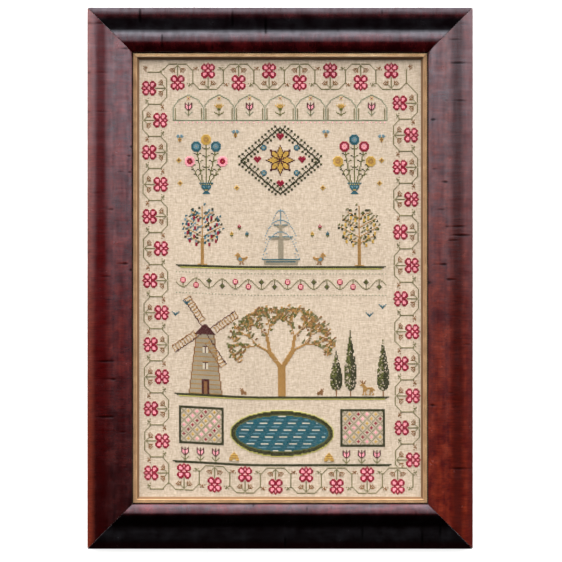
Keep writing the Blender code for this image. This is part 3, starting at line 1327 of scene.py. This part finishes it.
def stranded_cotton(thread, code):
    """Stranded cotton, worked in crosses, its dye a little paled: matt, with only a trace of sheen."""
    material, tree, place = new_material(f"stranded_cotton_{thread}")
    # The plies are 0.2 mm wide and their twist doesn't show, so the noise is at the stitch's size.
    dye = add_node(tree, "ShaderNodeTexNoise", {"Vector": place, "Scale": 1 / (1.4286 * MM), "Detail": 1.0})
    fade = add_node(tree, "ShaderNodeTexNoise", {"Vector": place, "Scale": 1 / (40 * MM), "Detail": 2.0})
    lot = add_node(tree, "ShaderNodeMath", {0: dye, 1: fade}, operation="ADD")
    depth = add_node(
        tree,
        "ShaderNodeMapRange",
        {"Value": lot, "From Min": 0.6, "From Max": 1.4, "To Min": 0.78, "To Max": 1.2},
    )
    close_material(
        tree,
        {
            "Base Color": add_node(
                tree, "ShaderNodeMix", {"Factor": 1.0, "A": colour(code), "B": depth}, **TONED_BY
            ),
            "Roughness": 0.75,
            "Specular IOR Level": 0.15,
            "Sheen Weight": 0.05,
            "Normal": add_node(
                tree, "ShaderNodeBump", {"Height": dye, "Strength": 0.3, "Distance": 0.1 * MM}
            ),
        },
    )
    return material


# Floor, light and camera


def pale_floor():
    """A white studio floor that glows by itself, so that the shadow beside the frame stays faint."""
    pick()
    bpy.ops.mesh.primitive_plane_add(size=60)
    floor = bpy.context.object
    floor.name = "studio_floor"
    material, tree, place = new_material("white_studio_floor")
    drift = add_node(tree, "ShaderNodeTexNoise", {"Vector": place, "Scale": 1 / (500 * MM)})
    close_material(
        tree,
        {
            "Base Color": add_node(
                tree, "ShaderNodeValToRGB", {"Fac": drift}, stops=((0.3, "#EEEEEE"), (0.7, "#F4F4F4"))
            ),
            "Roughness": 0.9,
            "Specular IOR Level": 0.0,
            "Emission Color": (1.0, 1.0, 1.0, 1.0),
            "Emission Strength": 0.85,
        },
    )
    floor.data.materials.append(material)


def studio_light():
    """A soft white tent over the top half of the room, a pale horizon, and the rest dark."""
    world = bpy.data.worlds.new("soft_tent")
    bpy.context.scene.world = world
    world.use_nodes = True
    tree = world.node_tree
    tree.nodes.clear()
    way = add_node(tree, "ShaderNodeTexCoord").outputs["Generated"]
    apart = add_node(tree, "ShaderNodeSeparateXYZ", {"Vector": way})
    sideways = add_node(tree, "ShaderNodeMath", {0: apart.outputs["X"]}, operation="ABSOLUTE")
    wrapped = add_node(
        tree, "ShaderNodeMath", {0: sideways, 1: TENT_WRAP, 2: apart.outputs["Y"]}, operation="MULTIPLY_ADD"
    )
    tent = add_node(
        tree,
        "ShaderNodeMapRange",
        {"Value": wrapped, "From Min": 0.12, "From Max": 1.0, "To Min": 0.0, "To Max": TENT_LIGHT},
    )
    above = {"Value": apart.outputs["Z"], "From Min": 0.05, "From Max": 0.13}
    tent_share = add_node(tree, "ShaderNodeMapRange", above, **SOFT)
    strength = add_node(tree, "ShaderNodeMix", {"Factor": tent_share, "A": HORIZON_LIGHT, "B": tent})
    glow = add_node(tree, "ShaderNodeBackground", {"Color": (1.0, 1.0, 1.0, 1.0), "Strength": strength})
    add_node(tree, "ShaderNodeOutputWorld", {"Surface": glow})


def face_on_camera():
    """A long lens, straight above the frame's middle but for a few millimetres."""
    lens = bpy.data.cameras.new("face_on")
    lens.lens = 100.0
    lens.sensor_width = 36.0
    lens.clip_start = 0.05
    camera = bpy.data.objects.new("face_on", lens)
    camera.location = CAMERA_PLACE
    bpy.context.scene.collection.objects.link(camera)
    bpy.context.scene.camera = camera


def rail_veneers():
    """The four rails' veneers, one mahogany in painted lit and shaded copies: red brown and hazy at the
    sides with painted light, nearly black at the top and bottom with painted shade.
    """
    return {
        # Side rails: red brown tones, painted light from the glow of the cross grain
        "left": polished_mahogany(
            "veneer_left_painted_light",
            "Y",
            tones=("#350506", "#480A08", "#5C150C"),
            cove="#460505",
            span=(6 * MM, 18 * MM),
            edge="#5E2010",
            ends=(0.22, 0.8),
            fade=(-300 * MM, -20 * MM),
            leans=(0.08, 0.29),
            calm=0.15,
        ),
        "right": polished_mahogany(
            "veneer_right_painted_light",
            "Y",
            tones=("#380907", "#4A1207", "#5C1B08"),
            cove="#340A05",
            span=(8 * MM, 20 * MM),
            edge="#44100A",
            ends=(1.3, 0.7),
            fade=(-300 * MM, 300 * MM),
            leans=(0.08, 0.29),
            calm=0.5,
        ),
        # End rails: nearly black tones and cove, and on the bottom rail a near black edge: painted shade
        "top": polished_mahogany(
            "veneer_top_painted_shade",
            "X",
            tones=("#1E0203", "#2E0507", "#420A0C"),
            cove="#040001",
            span=(7 * MM, 27 * MM),
            edge="#2A0405",
        ),
        "bottom": polished_mahogany(
            "veneer_bottom_painted_shade",
            "X",
            tones=("#2A0406", "#400709", "#560E10"),
            cove="#020000",
            span=(-8 * MM, 39 * MM),
            edge="#0E0102",
        ),
    }


def build():
    """Dresses the frame, works the cloth and sets the studio round them."""
    bpy.context.scene.view_settings.view_transform = "Standard"
    model_rails(rail_veneers(), bare_pine())
    gilding = gilded_gesso("mellow_gilded_gesso", ("#A5815C", "#BC966E", "#CFAB81"), "#7A5A3C")
    # The top slip's gilding is painted lighter: painted light that makes up for the shade the top rail casts
    # on it. Its hollow stays as dark as the other slips': painted shade on its bevel.
    top_painted_light = gilded_gesso("top_painted_light_gilded_gesso", ("#D2AE80", "#E8C89C", "#F6DEB8"), "#7C5A38")
    model_slips(gilding, top_painted_light, dark_groove_shadow())
    sheet = model_linen(evenweave_linen())
    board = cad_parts["backing_board"]
    board.data.materials.clear()
    board.data.materials.append(pulp_board())
    work_border()
    work_field()
    worked = model_stitches()
    pale_floor()
    studio_light()
    face_on_camera()


build()
